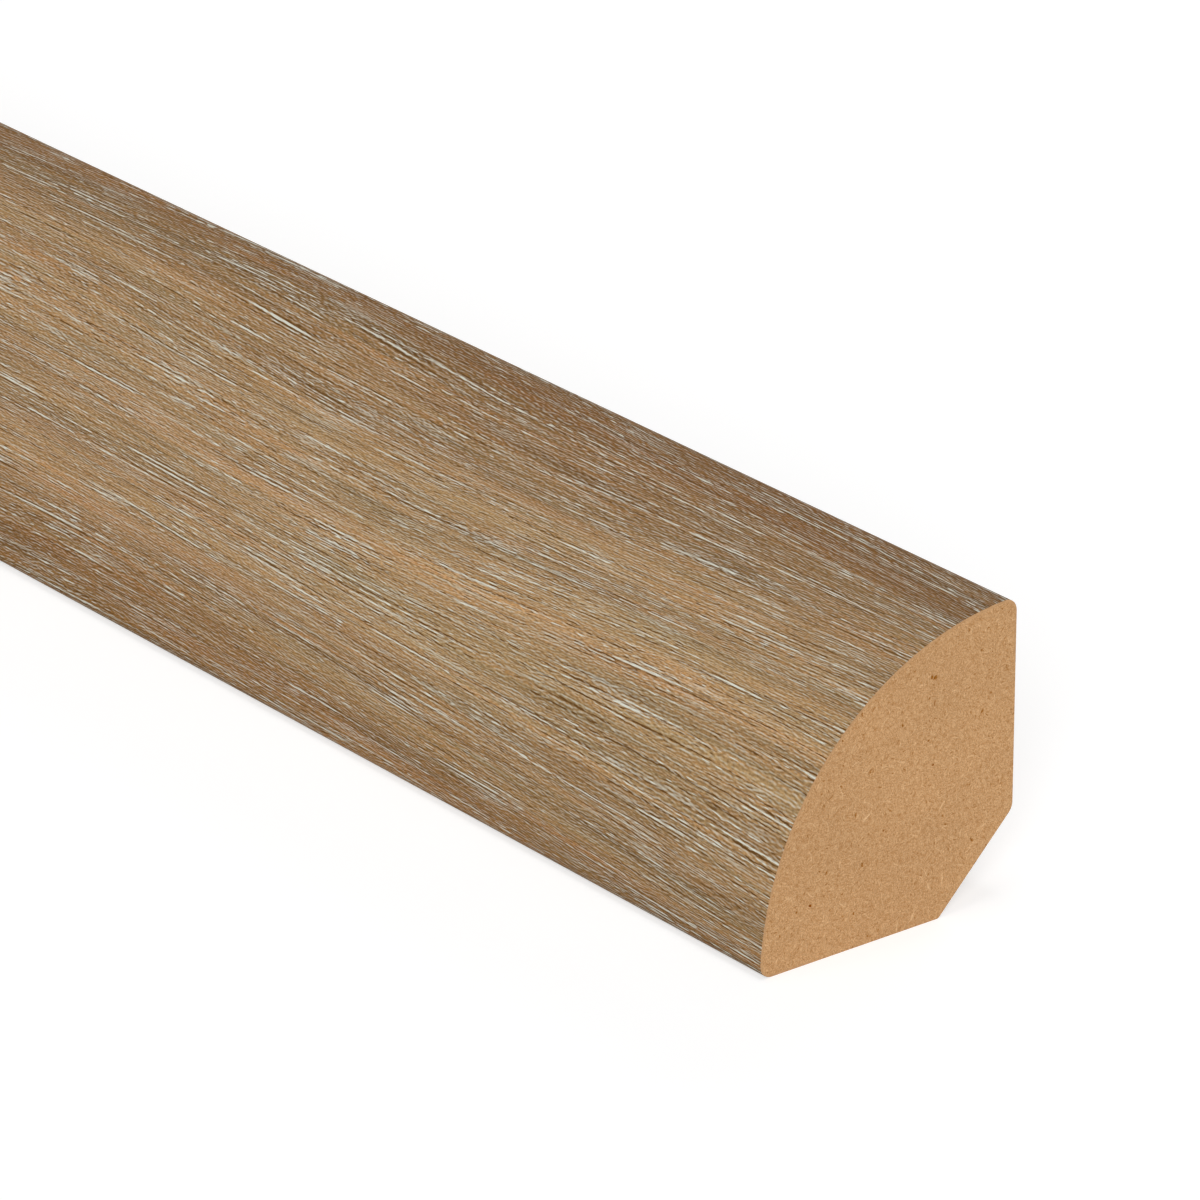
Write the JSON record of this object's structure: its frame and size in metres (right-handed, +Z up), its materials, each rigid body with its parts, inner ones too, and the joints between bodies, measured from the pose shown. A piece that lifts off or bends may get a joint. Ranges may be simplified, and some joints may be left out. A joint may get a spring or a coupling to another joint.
{
  "type": "quarter round moulding",
  "caption": "Length of quarter round floor trim: a fibreboard core with a limed oak look film wrapped round its face, to cover the joint of floor and wall.",
  "frame": {"origin": "on the floor, at the middle of the length, halfway between the toe and the wall face", "axes": "+X along the length, +Y towards the wall, +Z up"},
  "size_m": [2.3876, 0.019, 0.019],
  "materials": {
    "fibreboard": "sawn medium density fibreboard, matt",
    "decor_film": "printed limed oak grain along the length, satin"
  },
  "bodies": {
    "root": {"fibreboard_core": "fibreboard", "decor_film": "decor_film"}
  },
  "joints": []
}
